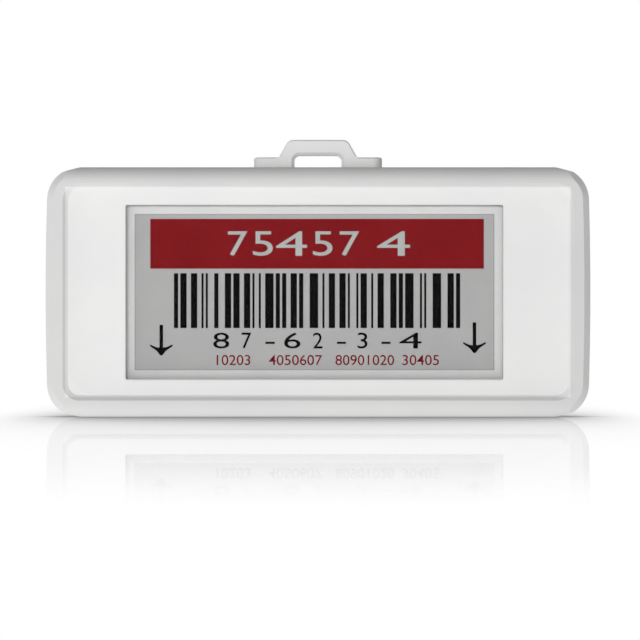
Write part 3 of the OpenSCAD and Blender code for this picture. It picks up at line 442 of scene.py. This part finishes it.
# %% Row of figures with dashes
ROW = [("8", -19.5, -16.5), ("7", -14.2, -12.4), ("6", -6.3, -3.25), ("2", -0.95, 0.85),
       ("3", 7.35, 9.2), ("4", 15.1, 19.25)]
DASHES = [(-9.8, -8.05), (3.5, 5.2), (11.8, 13.5)]
for number, (figure, x0, x1) in enumerate(ROW):
    figures(f"picture_row_figure_{number + 1}", figure, x0, x1, 12.7, 15.65, MARK_FRONT, ink_black)
for number, (x0, x1) in enumerate(DASHES):
    rectangle(f"picture_row_dash_{number + 1}", x0, x1, 13.55, 13.95, MARK_FRONT, ink_black)
print("row:", len(ROW), "figures and", len(DASHES), "dashes")

# %% Four small groups of figures
GROUPS = [("10203", -18.85, -12.6), ("4050607", -9.15, 0.75), ("80901020", 3.25, 14.15),
          ("30405", 15.7, 22.5)]
for number, (text, x0, x1) in enumerate(GROUPS):
    figures(f"picture_group_{number + 1}", text, x0, x1, 9.6, 11.5, MARK_FRONT, ink_red,
            bolder=0.002)
print("groups:", len(GROUPS))

# %% [markdown]
# ## Bar pattern
# Such a pattern is black bars of one to four modules with gaps of one to three. This one comes
# from a seeded draw and stands for nothing. One bar is modelled, and each other bar is a copy
# with a mesh of its own, stretched to its width and set in its place. The copies are joined.

# %% Bars
BARS_FROM, BARS_TO = -26.8, 26.45
BARS_LOW, BARS_HIGH = 16.5, 26.7
BARS = 33
draw = random.Random(40)
widths = [draw.choice((1, 1, 2, 2, 3, 3, 4)) for _ in range(BARS)]
gaps = [draw.choice((1, 1, 2, 2, 3)) for _ in range(BARS - 1)] + [0]
module = (BARS_TO - BARS_FROM) / (sum(widths) + sum(gaps))
bar = rectangle("picture_bars", 0, 1, BARS_LOW, BARS_HIGH, MARK_FRONT, ink_black)
bars, x = [], BARS_FROM
for width, gap in zip(widths, gaps):
    copy = bar.copy()
    copy.data = bar.data.copy()
    bpy.context.scene.collection.objects.link(copy)
    for v in copy.data.vertices:
        v.co.x = x * MM + v.co.x * width * module
    bars.append(copy)
    x += (width + gap) * module
bpy.data.objects.remove(bar)
select_only(bars[0])
for copy in bars:
    copy.select_set(True)
bpy.ops.object.join()
bpy.context.object.name = "picture_bars"
print("bars:", len(widths), "of", sum(widths) + sum(gaps), "modules,", round(module, 3), "mm each")

# %% [markdown]
# ## Arrows
# Each arrow is a thin shaft whose head sweeps back in two curved barbs. A filled circle has a
# rim of points in order, so its rim is laid along the arrow's outline, right side down and left
# side up. The head's points were read off as distances from the tip.

# %% Arrows
SHAFT = 0.33               # half the shaft's width, in mm
HEAD = [(SHAFT, 1.5), (0.7, 1.5), (1.15, 1.62), (1.6, 1.82), (1.98, 2.05), (2.13, 1.92),
        (2.1, 1.75), (1.7, 1.45), (1.25, 1.17), (0.85, 0.85), (0.5, 0.42), (0.28, 0.12), (0.1, 0.0)]


def arrow(name, x, z_tip, z_top):
    right = [(SHAFT, z_top - z_tip)] + HEAD
    outline = right + [(-px, pz) for px, pz in reversed(right)]
    bpy.ops.object.select_all(action="DESELECT")
    bpy.ops.mesh.primitive_circle_add(vertices=len(outline), fill_type="NGON")
    obj = bpy.context.object
    obj.name = name
    for vertex, (px, pz) in zip(obj.data.vertices, outline):
        vertex.co = ((x + px) * MM, 0, (z_tip + pz) * MM)
    return wafer(obj, MARK_FRONT, ink_black)


arrow("picture_arrow_left", -29.15, 11.4, 17.1)
arrow("picture_arrow_right", 29.1, 11.85, 17.55)
print("arrows: 2")

# %% [markdown]
# ## Stage
# The tag stands on a table of white translucent plastic that is lit from beneath, as product
# photographers use it. That is why the undersides of its edges are bright in the photograph
# and the rim's top edge is dark. The table glows for the tag, more on the left than on the
# right. Rays that go straight to the camera, into a gloss or through the lens see its surface:
# white, darker where the tag stands close over it, with a faint mirror image that ends where
# the polish does, a hand's width in front of the tag.

# %% Rays that see the backdrop
def seen_rays(tree):
    path = add(tree, "ShaderNodeLightPath")
    seen = path.outputs["Is Camera Ray"]
    for kind in ("Is Glossy Ray", "Is Transmission Ray"):
        either = add(tree, "ShaderNodeMath", {0: seen, 1: path.outputs[kind]}, operation="MAXIMUM")
        seen = either.outputs[0]
    return seen


# %% Table
TABLE_SIDE = 8.0               # metres, so that its edge is out of sight
GLOW_LEFT, GLOW_RIGHT = 1.25, 0.68
GLOW_REACH = 0.3               # where the glow stops changing, left and right of the tag
SHADE_REACH = 0.3              # how far off the tag still shades the table
SHADE_POWER = 2.6              # deepens that shade close to the tag
SHADE_HALF, SHADE_FADE = 0.046, 0.02
MIRROR_SHARE = 0.28
POLISH_ENDS = (0.18, 0.3)      # distances from the tag over which the polish fades out
bpy.ops.object.select_all(action="DESELECT")
bpy.ops.mesh.primitive_plane_add(size=TABLE_SIDE)
table = bpy.context.object
table.name = "table_top"
table_white, tree, bsdf = new_material("acrylic_white_table", "#F4F4F4", 0.3, IOR=1.49)
tree.nodes.remove(bsdf)
place = add(tree, "ShaderNodeTexCoord")
parts = add(tree, "ShaderNodeSeparateXYZ", {"Vector": place.outputs["Object"]})
# the light that the tag gets from the table
strength = add(tree, "ShaderNodeMapRange", {"Value": parts.outputs["X"]},
               interpolation_type="SMOOTHSTEP", From_Min=-GLOW_REACH, From_Max=GLOW_REACH,
               To_Min=GLOW_LEFT, To_Max=GLOW_RIGHT)
glow = add(tree, "ShaderNodeEmission", {"Strength": strength.outputs["Result"]})
# what is seen of the table near the tag: shaded white under a faint mirror
near_tag = add(tree, "ShaderNodeAmbientOcclusion", samples=16, Distance=SHADE_REACH)
shade = add(tree, "ShaderNodeMath", {0: near_tag.outputs["AO"], 1: SHADE_POWER}, operation="POWER")
below = within(tree, "X", 0.0, SHADE_HALF, SHADE_FADE)
under = add(tree, "ShaderNodeMix", {0: below, 2: 1.0, 3: shade.outputs[0]}, data_type="FLOAT")
surface = add(tree, "ShaderNodeEmission", {"Strength": under.outputs[0]})
matt = add(tree, "ShaderNodeBsdfDiffuse", Color=linear("#404040"))
lit = add(tree, "ShaderNodeAddShader", {0: surface.outputs[0], 1: matt.outputs[0]})
mirror = add(tree, "ShaderNodeBsdfGlossy", Color=(1, 1, 1, 1), Roughness=0.01)
near = add(tree, "ShaderNodeMixShader", {0: MIRROR_SHARE, 1: lit.outputs[0], 2: mirror.outputs[0]})
# farther off it is plain white, like the backdrop
white = add(tree, "ShaderNodeEmission", Color=(1, 1, 1, 1), Strength=1.0)
radius = add(tree, "ShaderNodeVectorMath", {0: place.outputs["Object"]}, operation="LENGTH")
far = add(tree, "ShaderNodeMapRange", {"Value": radius.outputs["Value"]},
          interpolation_type="SMOOTHSTEP", From_Min=POLISH_ENDS[0], From_Max=POLISH_ENDS[1],
          To_Min=0.0, To_Max=1.0)
shown = add(tree, "ShaderNodeMixShader",
            {0: far.outputs["Result"], 1: near.outputs[0], 2: white.outputs[0]})
both = add(tree, "ShaderNodeMixShader",
           {0: seen_rays(tree), 1: glow.outputs[0], 2: shown.outputs[0]})
tree.links.new(both.outputs[0], tree.nodes["Material Output"].inputs["Surface"])
table.data.materials.append(table_white)
print("table", TABLE_SIDE, "m, glow from", GLOW_LEFT, "to", GLOW_RIGHT)

# %% [markdown]
# ## World
# The room round the table is dim in front of the tag, so that the rim's top edge stays dark,
# bright far to the left, where it lights the left bevel, and brighter behind the tag, where it
# lights the back. The direction of a ray is the world's texture coordinate, so two ramps of it
# say all this. The rays that see the backdrop get plain white.

# %% World
world = bpy.data.worlds.new("studio")
bpy.context.scene.world = world
world.use_nodes = True
tree = world.node_tree
tree.nodes.clear()
way = add(tree, "ShaderNodeTexCoord")
parts = add(tree, "ShaderNodeSeparateXYZ", {"Vector": way.outputs["Generated"]})
LEFT_LEVEL, FRONT_LEVEL, BEHIND_LEVEL = 1.1, 0.03, 0.6
side = add(tree, "ShaderNodeMapRange", {"Value": parts.outputs["X"]},
           interpolation_type="SMOOTHSTEP", From_Min=-0.95, From_Max=-0.4,
           To_Min=LEFT_LEVEL, To_Max=FRONT_LEVEL)
behind = add(tree, "ShaderNodeMapRange", {"Value": parts.outputs["Y"]},
             interpolation_type="SMOOTHSTEP", From_Min=0.55, From_Max=1.0,
             To_Min=0.0, To_Max=BEHIND_LEVEL)
level = add(tree, "ShaderNodeMath", {0: side.outputs["Result"], 1: behind.outputs["Result"]},
            operation="ADD")
dim = add(tree, "ShaderNodeBackground", {"Strength": level.outputs[0]})
white = add(tree, "ShaderNodeBackground", Color=(1, 1, 1, 1), Strength=1.0)
sky = add(tree, "ShaderNodeMixShader", {0: seen_rays(tree), 1: dim.outputs[0], 2: white.outputs[0]})
add(tree, "ShaderNodeOutputWorld", {"Surface": sky.outputs[0]})
print("world levels:", LEFT_LEVEL, FRONT_LEVEL, BEHIND_LEVEL)

# %% [markdown]
# ## Light
# The photograph's shading says where its light stands: the left bevel is brighter than the
# right one, and the step under the top rim is bright while the one over the bottom rim is
# dark. The table gives the light from below, the room's left side lights the left edge, and one
# wide soft lamp beside the camera gives the rest. It is far off, so that both ends get as much
# of it, and a little above the camera, so that its mirror image stays out of the lens.
# Pi squared times the square of its distance would be the power for full daylight level.

# %% Lamp
MIDDLE = Vector((0, 0, 0.023))     # of the tag, which the lamp points at
KEY_LEVEL = 0.49                   # share of full daylight level
key_place = Vector((-0.22, -1.95, 0.31))
key_data = bpy.data.lights.new("key_wide", "AREA")
key_data.shape = "RECTANGLE"
key_data.size, key_data.size_y = 0.9, 0.26
key_data.energy = KEY_LEVEL * math.pi ** 2 * (key_place - MIDDLE).length ** 2
key = bpy.data.objects.new("key_wide", key_data)
bpy.context.scene.collection.objects.link(key)
key.location = key_place
key.rotation_euler = (MIDDLE - key_place).to_track_quat("-Z", "Y").to_euler()
print("lamp power", round(key_data.energy, 2), "W")

# %% [markdown]
# ## Camera
# The tag is seen straight on, with no side wall showing, so the camera is far away with a
# long lens, level with the lower half of the tag. The lens follows from the size of one pixel
# of the 640 pixel frame at the face, which the known width of the case gives.

# %% Camera
DISTANCE = 0.6                     # from the middle of the case's depth
TO_FACE = 0.0048                   # from there to the case's front
PIXEL = 0.185 * MM
FRAME_PIXELS = 640
camera_data = bpy.data.cameras.new("camera")
camera = bpy.data.objects.new("camera", camera_data)
bpy.context.scene.collection.objects.link(camera)
camera_data.sensor_width = 36
camera_data.lens = camera_data.sensor_width * (DISTANCE - TO_FACE) / (FRAME_PIXELS * PIXEL)
camera.location = (0.37 * MM, -DISTANCE, 18.0 * MM)
camera.rotation_euler = (math.pi / 2, 0, 0)
camera_data.clip_start, camera_data.clip_end = 0.05, 20
bpy.context.scene.camera = camera
bpy.context.scene.view_settings.view_transform = "Standard"
print("lens", round(camera_data.lens, 1), "mm")
